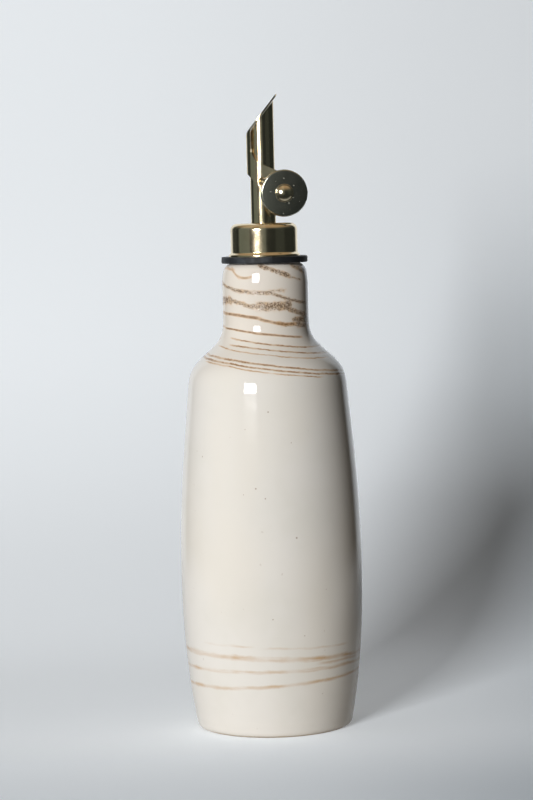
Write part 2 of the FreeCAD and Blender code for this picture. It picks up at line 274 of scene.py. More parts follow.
def heights_between(low, high, step):
    """Heights from low to high, closer together near both ends."""
    count = round((high - low - 2 * EDGE_ROUND) / step)
    turn = math.pi / 2 / EDGE_STEPS
    near = [EDGE_ROUND * (1 - math.cos(turn * i)) for i in range(EDGE_STEPS)]
    even = [low + EDGE_ROUND + i * (high - low - 2 * EDGE_ROUND) / count for i in range(count + 1)]
    return [low + n for n in near] + even + [high - n for n in reversed(near)]


def measured_side(heights, outside):
    """(radius, height) up one side of the wall, with the CAD mesh's own flats smoothed out."""
    radii = [wall_radius(z, outside) for z in heights]
    for _ in range(SOFTENING_PASSES):
        middle = [(a + 2 * b + c) / 4 for a, b, c in zip(radii, radii[1:], radii[2:])]
        radii = radii[:1] + middle + radii[-1:]
    return list(zip(radii, heights))


def ring_of_points(radius, height):
    turns = [2 * math.pi * s / SEGMENTS for s in range(SEGMENTS)]
    return [(radius * math.cos(turn), radius * math.sin(turn), height) for turn in turns]


outer = measured_side(heights_between(bottle_low.z + SKIN, bottle_high.z - SKIN, RING_STEP), True)
inner = measured_side(heights_between(FLOOR_Z + SKIN, bottle_high.z - SKIN, 4 * RING_STEP), False)
outline = outer + inner[::-1]
verts = [point for radius, height in outline for point in ring_of_points(radius, height)]
faces = []
for ring in range(len(outline) - 1):
    for s in range(SEGMENTS):
        here, beside = ring * SEGMENTS + s, ring * SEGMENTS + (s + 1) % SEGMENTS
        faces.append((here, beside, beside + SEGMENTS, here + SEGMENTS))
foot_centre, floor_centre = len(verts), len(verts) + 1
verts += [(0, 0, bottle_low.z), (0, 0, FLOOR_Z)]
last_ring = (len(outline) - 1) * SEGMENTS
for s in range(SEGMENTS):
    after = (s + 1) % SEGMENTS
    faces.append((after, s, foot_centre))
    faces.append((last_ring + s, last_ring + after, floor_centre))

bottle_mesh = bpy.data.meshes.new("bottle_thrown")
bottle_mesh.from_pydata(verts, [], faces)
bottle_mesh.polygons.foreach_set("use_smooth", [True] * len(faces))
bottle_mesh.update()
bottle = bpy.data.objects.new("bottle_thrown", bottle_mesh)
bpy.context.scene.collection.objects.link(bottle)
print("bottle:", len(outline), "rings,", 2 * len(faces), "triangles")

# %% [markdown]
# ## Paint: dark clay under a clear glaze
#
# The potter trailed dark, gritty clay round the neck while the wheel turned, so the lines climb
# and fall like a loose thread wound on a bobbin. Each line is a tilted circle: a level, how far it
# drops towards the right, and how far it leans towards the front. Distance from that circle makes
# the stroke. An image could hold the pattern too, but formulas stay sharp at any size.
#
# There are four kinds. Gritty strokes are loose dark grains on clay that bled into the glaze.
# Smooth strokes were thin enough to melt in. The lines on the shoulder are as fine as a hair, and
# the bands near the foot are faint and streaky.

# %% The lines, listed
# (level, drop to the right, lean to the front, half width, darkness, middle, half span)
# in mm and degrees. Middle 0 is the front and 90 the right. A half span of 180 goes all round.
GRITTY_STROKES = [
    (180.0, 6.1, 0.0, 1.00, 0.95, 14, 24),
    (179.9, 6.1, 0.0, 0.60, 0.70, 42, 14),
    (185.8, 7.9, 0.0, 1.40, 0.86, 58, 15),
    (170.1, 4.3, -2.4, 0.80, 0.86, -66, 24),
    (173.3, 0.5, -3.0, 0.90, 0.90, -18, 28),
    (174.1, 1.4, -2.8, 0.80, 0.55, 16, 12),
    (173.3, 7.1, -2.2, 0.78, 0.84, 38, 32),
    (161.1, 5.9, 2.5, 1.75, 0.95, -68, 17),
    (161.1, 5.9, 2.5, 0.85, 0.86, -44, 18),
    (169.9, 0.6, -5.4, 1.05, 0.90, -16, 14),
    (170.3, 0.6, -5.4, 1.85, 1.00, 12, 24),
    (163.8, 4.4, 2.7, 1.10, 0.92, 50, 24),
    (160.5, 1.3, 0.0, 1.15, 0.90, 62, 24),
    (165.9, 4.9, -6.3, 0.85, 0.85, 34, 20),
    (159.5, 2.9, 0.0, 0.95, 0.85, 62, 18),
    (169.9, 3.8, 0.0, 1.00, 0.85, 180, 94),
    (164.4, 3.2, 0.9, 1.45, 0.95, 180, 98),
    (175.6, -3.0, 1.5, 1.20, 0.80, 175, 48),
    (159.3, 3.1, 0.2, 1.00, 0.80, 180, 96),
]
SMOOTH_STROKES = [
    (176.6, 3.4, 0.0, 0.80, 0.55, -66, 17),
    (165.0, 18.1, 0.0, 0.80, 0.55, -47, 7),
    (213.3, -17.8, -32.7, 0.80, 0.60, -31, 12),
    (160.8, 2.0, -0.4, 0.95, 0.92, -44, 36),
    (165.9, 4.9, -6.3, 0.90, 0.85, 16, 26),
    (155.2, 2.3, -0.8, 0.62, 1.00, -10, 58),
    (154.9, 2.5, -0.2, 0.75, 0.85, 180, 108),
    (167.2, 2.0, 1.0, 0.80, 0.55, -140, 40),
]
SHOULDER_LINES = [
    (151.7, 2.7, -1.0, 0.44, 0.85, 20, 68),
    (149.0, 2.7, -0.4, 0.42, 0.90, 18, 62),
    (147.8, 2.9, -1.1, 0.34, 0.60, 0, 66),
    (142.9, 3.7, 0.3, 0.50, 0.85, 0, 180),
    (141.8, 3.8, -0.1, 0.46, 0.95, 0, 180),
    (140.2, 4.5, 0.2, 0.40, 0.60, -30, 32),
    (140.2, 3.6, 0.2, 0.40, 0.70, 24, 18),
    (150.4, 2.2, 0.6, 0.44, 0.75, 180, 100),
    (144.2, 3.0, 0.5, 0.40, 0.60, 150, 60),
]
FOOT_BANDS = [
    (35.6, 1.1, 0.2, 0.70, 0.40, -31, 14),
    (35.0, 1.1, 0.4, 0.70, 0.62, 24, 28),
    (30.9, 1.3, 0.3, 1.50, 0.95, 0, 180),
    (25.9, -0.3, 0.4, 1.10, 0.80, 0, 180),
    (28.0, -0.3, 0.4, 1.00, 0.80, 58, 24),
    (20.6, -1.9, 0.0, 1.15, 0.85, 0, 180),
    (28.6, 0.8, 0.5, 0.70, 0.45, -160, 60),
]


def turned_to(right, front, middle_deg, half_span_deg, blur_deg=7):
    """1 where the surface faces within half a span of a direction, fading at both ends."""
    turn = math.radians(middle_deg)
    facing = right * math.sin(turn) + front * math.cos(turn)
    low = math.cos(math.radians(half_span_deg + blur_deg))
    high = math.cos(math.radians(max(half_span_deg - blur_deg, 0)))
    return facing.rise(low, high)


def distance_to_line(glaze, line, right, front, waver):
    """How far the surface is above or below a tilted circle, in mm."""
    level, drop, lean = line[:3]
    return (glaze.z / MM + right * drop - front * lean + waver - level).size()


def trail(glaze, lines, right, front, waver, width_change, edge=1.0, core=0.15):
    """All strokes of one kind, as one mask: 0 at edge half widths away, 1 in the core of a stroke."""
    total = None
    for line in lines:
        half_width, darkness, middle, half_span = line[3:]
        away = distance_to_line(glaze, line, right, front, waver)
        stroke = (away / (width_change * half_width)).fall(core, edge) * darkness
        if half_span < 180:
            stroke = stroke * turned_to(right, front, middle, half_span)
        total = stroke if total is None else total.at_least(stroke)
    return total

# %% Glaze
# colours are in linear light
CREAM = (0.765, 0.742, 0.697)
CREAM_GREY = (0.735, 0.714, 0.660)
CREAM_WARM = (0.772, 0.735, 0.665)
NECK_CREAM = (0.750, 0.690, 0.612)
BLED_TAN = (0.55, 0.40, 0.25)
ORANGE_FRINGE = (0.66, 0.39, 0.17)
DARK_GRIT = (0.120, 0.068, 0.036)
LINE_BROWN = (0.26, 0.150, 0.075)
MELTED_BROWN = (0.30, 0.175, 0.085)
FOOT_TAN = (0.55, 0.36, 0.19)
BARE_CLAY = (0.61, 0.51, 0.39)
GLAZE_ROUGHNESS = 0.06
NECK_TINT_Z = (0.132, 0.158)    # the height, in metres, over which the glaze turns warmer
BARE_MM = (0.3, 0.8)            # the height over which the glaze begins above the bare foot
RIPPLE_DEPTH = 0.000008
GROOVE_DEPTH = 0.00005          # how deep a line lies in the glaze
# spots of iron burnt out of the clay: (degrees to the right of the front, height, radius) in mm
IRON_SPOTS = [(0, 125.7, 0.42), (-9, 96.8, 0.44), (-3, 93.0, 0.38), (16, 77.7, 0.50),
              (-50, 108.3, 0.34), (-16, 119.2, 0.24), (15, 113.8, 0.28), (-17, 94.5, 0.24),
              (0, 46.8, 0.34), (20, 39.9, 0.30), (34, 16.4, 0.26), (70, 100, 0.30),
              (120, 84, 0.50), (165, 112, 0.45), (-120, 60, 0.50), (-95, 97, 0.40)]


def make_glaze():
    glaze = Finish("cream_glaze", Roughness=GLAZE_ROUGHNESS)
    radius = (glaze.x * glaze.x + glaze.y * glaze.y).root()
    right = glaze.x / radius
    front = glaze.y / radius * -1

    # a hand is never steady: lines waver up and down by some tenths of a mm, swell and thin out
    waver = (glaze.noise(90, 2, 0.55) - 0.5) * 1.3 + (glaze.noise(700, 1, 0.5) - 0.5) * 0.9
    calm_waver = (glaze.noise(120, 2, 0.5, glaze.stretched(1, 1, 0.3)) - 0.5) * 1.0
    hair_waver = calm_waver + (glaze.noise(900, 2, 0.6) - 0.5) * 0.45
    swell = glaze.noise(150, 2, 0.6, glaze.stretched(1, 1, 0.4, 0.3)) * 0.9 + 0.55
    grains = glaze.noise(2500, 2, 0.6)
    clump = glaze.noise(620, 2, 0.55, glaze.stretched(1, 1, 1.2, 0.11))
    bleeding = glaze.noise(420, 2, 0.6, glaze.stretched(1, 1, 1, 0.77))

    gritty_clay = trail(glaze, GRITTY_STROKES, right, front, waver, swell, 1.8, 0.0)
    smooth_clay = trail(glaze, SMOOTH_STROKES, right, front, calm_waver, swell)
    shoulder = trail(glaze, SHOULDER_LINES, right, front, hair_waver, swell * 0.6 + 0.5)
    foot = trail(glaze, FOOT_BANDS, right, front, hair_waver, swell, 1.0, 0.05)

    cloud = glaze.noise(38, 3, 0.6)
    warm = glaze.noise(24, 2, 0.5, glaze.stretched(1, 1, 0.5, 0.7))
    colour = glaze.mix(CREAM, CREAM_GREY, cloud.rise(0.42, 0.72))
    colour = glaze.mix(colour, CREAM_WARM, warm.rise(0.45, 0.75) * 0.8)
    colour = glaze.mix(colour, NECK_CREAM, glaze.z.rise(*NECK_TINT_Z) * 0.85)

    # clay bled into the glaze is tan and wide, with orange where it thins out
    halo = gritty_clay.rise(0.02, 0.55) * (bleeding.rise(0.30, 0.62) * 0.55 + 0.45)
    core = gritty_clay.rise(0.34, 0.62)
    colour = glaze.mix(colour, ORANGE_FRINGE, halo * (clump.fall(0.35, 0.55) * 0.35 + 0.15))
    colour = glaze.mix(colour, BLED_TAN, core * (bleeding.rise(0.30, 0.62) * 0.35 + 0.30))
    grit = (grains + clump * 0.30 + gritty_clay * 0.20 - 0.80).rise(-0.05, 0.08) * core
    colour = glaze.mix(colour, DARK_GRIT, grit * 0.86)

    # thin clay melted into the glaze, and left a few flecks
    melted = smooth_clay * (clump.rise(0.30, 0.62) * 0.40 + 0.60)
    colour = glaze.mix(colour, ORANGE_FRINGE, smooth_clay.rise(0.0, 0.45) * 0.50)
    colour = glaze.mix(colour, MELTED_BROWN, melted.rise(0.22, 0.95) * 0.70)
    flecks = (grains + clump * 0.30 - 0.66).rise(-0.05, 0.08) * smooth_clay.rise(0.35, 0.85)
    colour = glaze.mix(colour, DARK_GRIT, flecks * 0.55)

    # the hairlines break up where little clay was left
    broken = glaze.noise(260, 2, 0.6, glaze.stretched(1, 1, 0.2, 0.5))
    specked = grains.rise(0.34, 0.58) * 0.55 + 0.45
    thin = shoulder.rise(0.25, 0.9) * (broken.rise(0.34, 0.60) * 0.7 + 0.3) * specked
    colour = glaze.mix(colour, ORANGE_FRINGE, shoulder.rise(0.0, 0.5) * (broken * 0.6 + 0.25))
    colour = glaze.mix(colour, LINE_BROWN, thin)

    # the foot's bands come and go, and are streaked along the turn
    patchy = glaze.noise(70, 2, 0.6, glaze.stretched(1, 1, 0.3, 0.9)).rise(0.30, 0.66)
    streaks = glaze.noise(900, 2, 0.6, glaze.stretched(0.09, 0.09, 1, 0.6)).rise(0.30, 0.62)
    faint = foot * (patchy * 0.70 + 0.30) * (streaks * 0.65 + 0.35)
    colour = glaze.mix(colour, FOOT_TAN, faint)

    # iron spots where the list puts them, and finer specks all over
    spots = None
    for degrees, height, spot_radius in IRON_SPOTS:
        turn = math.radians(degrees)
        sideways = (right * math.cos(turn) - front * math.sin(turn)) * radius / MM
        facing = (right * math.sin(turn) + front * math.cos(turn)).rise(0.0, 0.05)
        above = glaze.z / MM - height
        away = (sideways * sideways + above * above).root()
        spot = away.fall(spot_radius * 0.4, spot_radius) * facing
        spots = spot if spots is None else spots.at_least(spot)
    peppered = glaze.noise(640, 0, 0.5, glaze.stretched(1, 1, 1, 0.4)).rise(0.865, 0.90)
    colour = glaze.mix(colour, LINE_BROWN, (spots * 0.6).at_least(peppered * 0.18))

    # the foot was wiped clean of glaze, so its edge is bare and matt
    bare = (glaze.z / MM + (glaze.noise(160, 2, 0.6) - 0.5) * 0.8).fall(*BARE_MM)
    colour = glaze.mix(colour, BARE_CLAY, bare)
    rough = bare * 0.6 + grit * 0.08 + GLAZE_ROUGHNESS

    ripples = glaze.relief(glaze.noise(160, 2, 0.4), RIPPLE_DEPTH)
    grooves = glaze.relief(1 - shoulder * 0.8 - grit * 0.25, GROOVE_DEPTH, ripples)
    return glaze.surface(Base_Color=colour, Roughness=rough, Normal=grooves)


cream_glaze = make_glaze()

# %% [markdown]
# ## The thrower's hand, as a rule
#
# The rings and the unevenness follow a rule, so a Geometry Nodes tree makes them: every point
# moves along its own horizontal direction, by finger rings, a slow unevenness and a softer lip.
# Their sizes are named inputs, so the hand can be made firmer or looser without touching the mesh.
# Points only ever move towards the axis, which keeps the bottle inside the CAD bottle's box.

# %% Geometry Nodes helper
def tree_with(name, sockets):
    """A geometry node tree with a Geometry input and output and the named inputs."""
    tree = bpy.data.node_groups.new(name, "GeometryNodeTree")
    tree.interface.new_socket("Geometry", in_out="INPUT", socket_type="NodeSocketGeometry")
    tree.interface.new_socket("Geometry", in_out="OUTPUT", socket_type="NodeSocketGeometry")
    for label, kind in sockets:
        tree.interface.new_socket(label, in_out="INPUT", socket_type=kind)
    return tree


def node_in(tree, kind, settings=None, **links):
    """Add a node, set its settings and then its inputs, by socket name or number."""
    node = tree.nodes.new(kind)
    for setting, choice in (settings or {}).items():
        setattr(node, setting, choice)
    for key, value in links.items():
        socket = node.inputs[int(key[1:])] if key[1:].isdigit() else node.inputs[key.replace("_", " ")]
        if isinstance(value, bpy.types.NodeSocket):
            tree.links.new(value, socket)
        else:
            socket.default_value = value
    return node


def apply_tree(obj, tree, settings):
    """Run a tree on an object with its inputs set, and keep the plain mesh that comes out."""
    modifier = obj.modifiers.new(tree.name, "NODES")
    modifier.node_group = tree
    for item in tree.interface.items_tree:
        if item.item_type == "SOCKET" and item.in_out == "INPUT" and item.name in settings:
            modifier[item.identifier] = settings[item.name]
    depsgraph = bpy.context.evaluated_depsgraph_get()
    made = bpy.data.meshes.new_from_object(obj.evaluated_get(depsgraph))
    obj.modifiers.remove(modifier)
    obj.data = made
    print(obj.name, "from", tree.name, "has", len(made.polygons), "faces")

# %% The tree that throws the wall
def make_throwing_tree():
    tree = tree_with("thrown_wall", [
        ("Ring Depth", "NodeSocketFloat"), ("Ring Pitch", "NodeSocketFloat"),
        ("Unevenness", "NodeSocketFloat"), ("Lip Softening", "NodeSocketFloat"),
        ("Softening Low", "NodeSocketFloat"), ("Softening High", "NodeSocketFloat"),
        ("Seed", "NodeSocketFloat"),
        ("Glaze", "NodeSocketMaterial"),
    ])
    start = tree.nodes.new("NodeGroupInput")
    end = tree.nodes.new("NodeGroupOutput")

    def maths(operation, first, second=0.0):
        return node_in(tree, "ShaderNodeMath", {"operation": operation}, _0=first, _1=second).outputs[0]

    def grain(scale_x, scale_z, size):
        stretched = node_in(tree, "ShaderNodeVectorMath", {"operation": "MULTIPLY"},
                            _0=place.outputs[0], _1=(scale_x, scale_x, scale_z))
        return node_in(tree, "ShaderNodeTexNoise", {"noise_dimensions": "4D"},
                       Vector=stretched.outputs[0], W=start.outputs["Seed"], Scale=size,
                       Detail=1.0).outputs["Fac"]

    place = tree.nodes.new("GeometryNodeInputPosition")
    axes = node_in(tree, "ShaderNodeSeparateXYZ", {}, _0=place.outputs[0])
    flat = node_in(tree, "ShaderNodeCombineXYZ", {}, _0=axes.outputs[0], _1=axes.outputs[1])
    outward = node_in(tree, "ShaderNodeVectorMath", {"operation": "NORMALIZE"}, _0=flat.outputs[0])

    # finger rings climb as a shallow helix, and fade where the noise says so
    turn = maths("ARCTAN2", axes.outputs[1], axes.outputs[0])
    climbed = maths("ADD", maths("DIVIDE", axes.outputs[2], start.outputs["Ring Pitch"]),
                    maths("DIVIDE", turn, 2 * math.pi))
    wave = maths("SINE", maths("MULTIPLY", climbed, 2 * math.pi))
    rings = maths("MULTIPLY", maths("SUBTRACT", 1.0, wave), start.outputs["Ring Depth"])
    rings = maths("MULTIPLY", rings, grain(1.0, 1.5, 22.0))

    uneven = maths("MULTIPLY", grain(1.0, 0.6, 26.0), start.outputs["Unevenness"])
    near_lip = node_in(tree, "ShaderNodeMapRange", {"interpolation_type": "SMOOTHSTEP"},
                       Value=axes.outputs[2], From_Min=start.outputs["Softening Low"],
                       From_Max=start.outputs["Softening High"])
    lip = maths("MULTIPLY", near_lip.outputs[0], start.outputs["Lip Softening"])
    inwards = maths("ADD", maths("ADD", rings, uneven), lip)

    # every point keeps its height and only moves sideways
    offset = node_in(tree, "ShaderNodeVectorMath", {"operation": "SCALE"},
                     _0=outward.outputs[0], Scale=maths("MULTIPLY", inwards, -1.0))
    moved = node_in(tree, "GeometryNodeSetPosition", {}, Geometry=start.outputs["Geometry"],
                    Offset=offset.outputs[0])
    real = node_in(tree, "GeometryNodeRealizeInstances", {}, Geometry=moved.outputs[0])
    glazed = node_in(tree, "GeometryNodeSetMaterial", {}, Geometry=real.outputs[0],
                     Material=start.outputs["Glaze"])
    tree.links.new(glazed.outputs[0], end.inputs[0])
    return tree


apply_tree(bottle, make_throwing_tree(), {
    "Ring Depth": 0.00001, "Ring Pitch": 0.0062, "Unevenness": 0.0002, "Lip Softening": 0.0004,
    "Softening Low": bottle_high.z - 0.0078, "Softening High": bottle_high.z - 0.0030,
    "Seed": 4.0, "Glaze": cream_glaze,
})
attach(bottle, "bottle_body")
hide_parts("bottle")

# %% [markdown]
# ## Brass
#
# Pourers like this are pressed from brass and polished, so they are bright in the highlight and
# take the dark of the room elsewhere. Metal shows what stands around it, so the finish itself is
# simple: the colour of brass, a slight haze, and a surface that is not quite flat. The haze differs
# from place to place, which is what makes polished metal look handled. A Bevel node rounds the
# light on each sharp edge, as polishing does.

# %% Brass finishes
BRASS = (0.88, 0.735, 0.50)
BRASS_DEEP = (0.74, 0.56, 0.31)
WEIGHT_FACE = (0.49, 0.48, 0.40)
WEIGHT_DULL = (0.36, 0.355, 0.29)
DUST = (0.55, 0.54, 0.50)
BRASS_HAZE = 0.10           # roughness where the polish is best
HANDLED_HAZE = 0.10         # how much it grows where the brass is handled
WEIGHT_HAZE = 0.17
EDGE_POLISH = 0.00013       # radius that the polishing gave to sharp edges
LATHE_FEED = 0.00022        # from one ring of the lathe's tool to the next
WEIGHT_RADIUS_MM = 9.1
WEIGHT_CROWN = 0.0003       # how far the middle of a weight's face seems to stand above its edge


def polished_edges(finish):
    """A normal that turns smoothly over sharp edges."""
    node = finish.add("ShaderNodeBevel", {"samples": 6}, Radius=EDGE_POLISH)
    return node.outputs[0]


def make_brass():
    brass = Finish("polished_brass", Metallic=1.0)
    tarnish = brass.noise(120, 3, 0.6)
    handled = brass.noise(340, 2, 0.6)
    colour = brass.mix(BRASS, BRASS_DEEP, tarnish.rise(0.50, 0.85) * 0.45)
    ripples = brass.relief(brass.noise(210, 2, 0.5), 0.00002, polished_edges(brass))
    hairs = brass.noise(4200, 1, 0.5, brass.stretched(1, 1, 0.04))
    return brass.surface(Base_Color=colour, Roughness=handled * HANDLED_HAZE + BRASS_HAZE,
                         Normal=brass.relief(hairs, 0.0000005, ripples))


# grains of dust on the front weight: (right of the rivet, above it, radius) in mm
GRAINS = [(-5.2, 0.6, 0.34), (1.8, -3.9, 0.46), (3.5, -1.8, 0.40), (-0.4, -7.8, 0.36),
          (3.8, 2.9, 0.40), (0.0, 5.7, 0.34), (5.9, -3.4, 0.22), (-3.1, 4.6, 0.2)]


def make_weight_metal(centre):
    """Turned brass gone dull: rings from the lathe about the rivet, and a few grains of dust."""
    metal = Finish("turned_weight_brass", Metallic=1.0)
    across = (metal.x - centre.x) / MM
    up = (metal.z - centre.z) / MM
    reach = (across * across + up * up).root()
    wave = metal.x.math("SINE", reach * (2 * math.pi * MM / LATHE_FEED))
    rings = metal.relief(wave, 0.0000008, polished_edges(metal))
    crowned = metal.relief(1 - (reach / WEIGHT_RADIUS_MM) ** 2.0, WEIGHT_CROWN, rings)
    dusty = None
    for right_mm, up_mm, size_mm in GRAINS:
        sideways, above = across - right_mm, up - up_mm
        speck = (sideways * sideways + above * above).root().fall(size_mm * 0.3, size_mm)
        dusty = speck if dusty is None else dusty.at_least(speck)
    dusty = dusty * metal.noise(2600, 1, 0.5).rise(0.3, 0.6)
    colour = metal.mix(WEIGHT_FACE, WEIGHT_DULL, metal.noise(150, 3, 0.6).rise(0.4, 0.8))
    colour = metal.mix(colour, DUST, dusty * 0.22)
    haze = metal.noise(300, 2, 0.6) * 0.08 + WEIGHT_HAZE
    return metal.surface(Base_Color=colour, Roughness=haze + dusty * 0.2,
                         Metallic=1 - dusty * 0.2, Normal=crowned)


def dress(node_name, material):
    """Put a finish on a CAD piece, which stays where and what it is."""
    mesh = nodes[node_name].data
    mesh.materials.clear()
    mesh.materials.append(material)


weight_low, weight_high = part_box("weight_front")
polished_brass = make_brass()
turned_brass = make_weight_metal((weight_low + weight_high) / 2)
for name in ("cap", "spout_tube", "flap", "rivet_front", "rivet_back"):
    dress(name, polished_brass)
for name in ("weight_front", "weight_back"):
    dress(name, turned_brass)

# %% [markdown]
# ## Rubber
#
# The stopper is moulded in black rubber. It is matt, but not one black: the skin picks up dust and
# a grey bloom where fingers press it. Where the two halves of the mould met, a thin line of rubber
# stands up and runs over the flange on both sides. On the half that faces the softbox, up to that
# line, the bloom is painted several times stronger, as a painted sheen where the light falls.

# %% Rubber finish
RUBBER = (0.008, 0.009, 0.010)
# the colour of bloom and lint, and of the painted sheen on the half that faces the light
RUBBER_BLOOM_AND_SHEEN = (0.040, 0.046, 0.052)
MOULD_LINE_DEG = 10
MOULD_LINE = math.radians(MOULD_LINE_DEG)
LINE_BLUR = 0.004           # how far the painted sheen on the lit half fades out past the mould line


def make_rubber():
    rubber = Finish("black_rubber", Roughness=0.5, Specular_IOR_Level=0.33)
    radius = (rubber.x * rubber.x + rubber.y * rubber.y).root()
    past_line = rubber.x / radius * math.cos(MOULD_LINE) + rubber.y / radius * math.sin(MOULD_LINE)
    # painted sheen: the bloom is about eight times stronger on the half that faces the softbox
    lit_half_sheen = past_line.fall(-LINE_BLUR, LINE_BLUR) * 0.88 + 0.12
    bloom_and_sheen = rubber.noise(190, 3, 0.65).rise(0.30, 0.65) * lit_half_sheen
    lint = rubber.noise(1700, 1, 0.5, rubber.stretched(1, 1, 1, 0.2)).rise(0.70, 0.78)
    colour = rubber.mix(RUBBER, RUBBER_BLOOM_AND_SHEEN, (bloom_and_sheen * 0.8 + lint * 0.3).at_most(1.0))
    grain = rubber.relief(rubber.noise(3200, 2, 0.6), 0.000012)
    return rubber.surface(Base_Color=colour, Roughness=0.62 - bloom_and_sheen * 0.12, Normal=grain)


moulded_rubber = make_rubber()
dress("stopper", moulded_rubber)

# %% [markdown]
# The mould line follows the flange's outline, so a Geometry Nodes tree sweeps a fine round bead
# along it. The outline is a short run of points: out from the cap, over the edge, and down.

# %% Mould line
FLANGE_THICK = 0.0025
FLANGE_EDGE = 0.0005        # radius of the flange's rounded edges
CORNER_STEPS = 6


def make_mould_line_tree():
    tree = tree_with("mould_line", [
        ("Bead Radius", "NodeSocketFloat"), ("Rubber", "NodeSocketMaterial"),
    ])
    start = tree.nodes.new("NodeGroupInput")
    end = tree.nodes.new("NodeGroupOutput")
    path = node_in(tree, "GeometryNodeMeshToCurve", {}, _0=start.outputs["Geometry"])
    ring = node_in(tree, "GeometryNodeCurvePrimitiveCircle", {}, Resolution=8,
                   Radius=start.outputs["Bead Radius"])
    bead = node_in(tree, "GeometryNodeCurveToMesh", {}, Curve=path.outputs[0],
                   Profile_Curve=ring.outputs[0], Fill_Caps=True)
    smooth = node_in(tree, "GeometryNodeSetShadeSmooth", {}, Geometry=bead.outputs[0])
    real = node_in(tree, "GeometryNodeRealizeInstances", {}, Geometry=smooth.outputs[0])
    coated = node_in(tree, "GeometryNodeSetMaterial", {}, Geometry=real.outputs[0],
                     Material=start.outputs["Rubber"])
    tree.links.new(coated.outputs[0], end.inputs[0])
    return tree


def flange_outline(cap_edge, edge, low, high):
    """(radius, height) from just outside the cap over the flange's rounded edge and down."""
    points = [(cap_edge, high), (edge - FLANGE_EDGE, high)]
    for corner_z, first in ((high - FLANGE_EDGE, 90), (low + FLANGE_EDGE, 0)):
        for i in range(1, CORNER_STEPS + 1):
            turn = math.radians(first - 90 * i / CORNER_STEPS)
            points.append((edge - FLANGE_EDGE + FLANGE_EDGE * math.cos(turn),
                           corner_z + FLANGE_EDGE * math.sin(turn)))
    return points


cap_low, cap_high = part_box("cap")
stopper_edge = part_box("stopper")[1].x
outline_points = flange_outline(cap_high.x, stopper_edge, cap_low.z - FLANGE_THICK, cap_low.z)
line_verts, line_edges = [], []
for side_deg in (MOULD_LINE_DEG, MOULD_LINE_DEG + 180):
    turn = math.radians(side_deg - 90)
    first = len(line_verts)
    line_verts += [(r * math.cos(turn), r * math.sin(turn), z) for r, z in outline_points]
    line_edges += [(i, i + 1) for i in range(first, len(line_verts) - 1)]
line_mesh = bpy.data.meshes.new("mould_line")
line_mesh.from_pydata(line_verts, line_edges, [])
mould_line = bpy.data.objects.new("mould_line", line_mesh)
bpy.context.scene.collection.objects.link(mould_line)
apply_tree(mould_line, make_mould_line_tree(), {"Bead Radius": 0.00009, "Rubber": moulded_rubber})
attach(mould_line, "bottle_body")

# %% [markdown]
# ## Floor and sweep
#
# The bottle stands on a pale table, with a sheet of pale card bent up close behind it that catches
# its shadow. The card fades out at its ends and its top, and from behind it is clear, so that it
# never hides the bottle. Away from the bottle the table turns as pale as the room's far end, so
# there is no horizon. Shade is painted in as well: a darker tone on the table in front of the
# bottle, and another on the table and card at its right, low down round its shadow. At the right
# the glow, which stands for light on the stage, is painted dimmer too.
#
# A mirror this close to white card would show white and little else. So what the glaze and the
# brass mirror goes through the card, and through the table except close by, to the room. The light
# that the stage throws back at the pieces has colours of its own too: dim from the card, so that
# the bottle's far side stays in shade, and brighter and warm from the table round the foot.

# %% Stage
STAGE = (0.905, 0.95, 0.99)
STAGE_PAINTED_FRONT_SHADE = (0.50, 0.55, 0.595)   # painted shade: a darker tone, in front of the bottle
STAGE_SHADED = (0.63, 0.695, 0.75)  # another, at the right
CARD_BOUNCE = (0.052, 0.044, 0.034)
TABLE_BOUNCE = (0.34, 0.29, 0.225)
GLOW = (0.075, 0.078, 0.080)
LEAST_GLOW = 0.2                    # share of the glow that is left in the shade at the right
PALE = (0.80, 0.845, 0.88)          # the room's far end, and the table where it runs off to it
PALE_NEARBY = (0.62, 0.66, 0.69)
FIBRE_SHADE = 0.985

# where these begin and end: distances from the bottle's axis, in metres
BOUNCE_REACH = (0.12, 0.34)         # the table's bounce fades
TABLE_REACH = (0.30, 0.70)          # the table fades for what is mirrored
FAR_REACH = (0.19, 0.42)            # the table turns pale
PALE_REACH = (0.3, 1.3)             # that pale goes from near to far

# the same along x, to the right, along y, away from the camera, and along z
SHADE_BEGINS_X, SHADE_ENDS_X, SHADE_Z = (0.04, 0.20), (0.18, 0.34), (0.08, 0.26)
GLOW_DIMS_X = (-0.10, 0.16)
FRONT_X, FRONT_Y = (-0.02, 0.11), (-0.14, -0.01)
TABLE_Y, FAR_Y = (-0.20, -0.05), (0.10, 0.17)

FLOOR_REACH = 4.0
CARD_LEFT, CARD_RIGHT = -0.62, 0.62
CARD_TOP = 0.50
CARD_FADE = 0.24
TOP_FADE = 0.10
# the card's bend from the side: (y, z) in metres
CARD_PROFILE = [(0.052, 0.0002), (0.085, 0.0006), (0.120, 0.0020), (0.150, 0.0060), (0.180, 0.0145),
                (0.212, 0.0275), (0.244, 0.0445), (0.275, 0.0680), (0.301, 0.0960), (0.320, 0.126),
                (0.331, 0.160), (0.337, 0.20), (0.339, 0.30), (0.339, 0.40), (0.339, 0.52)]


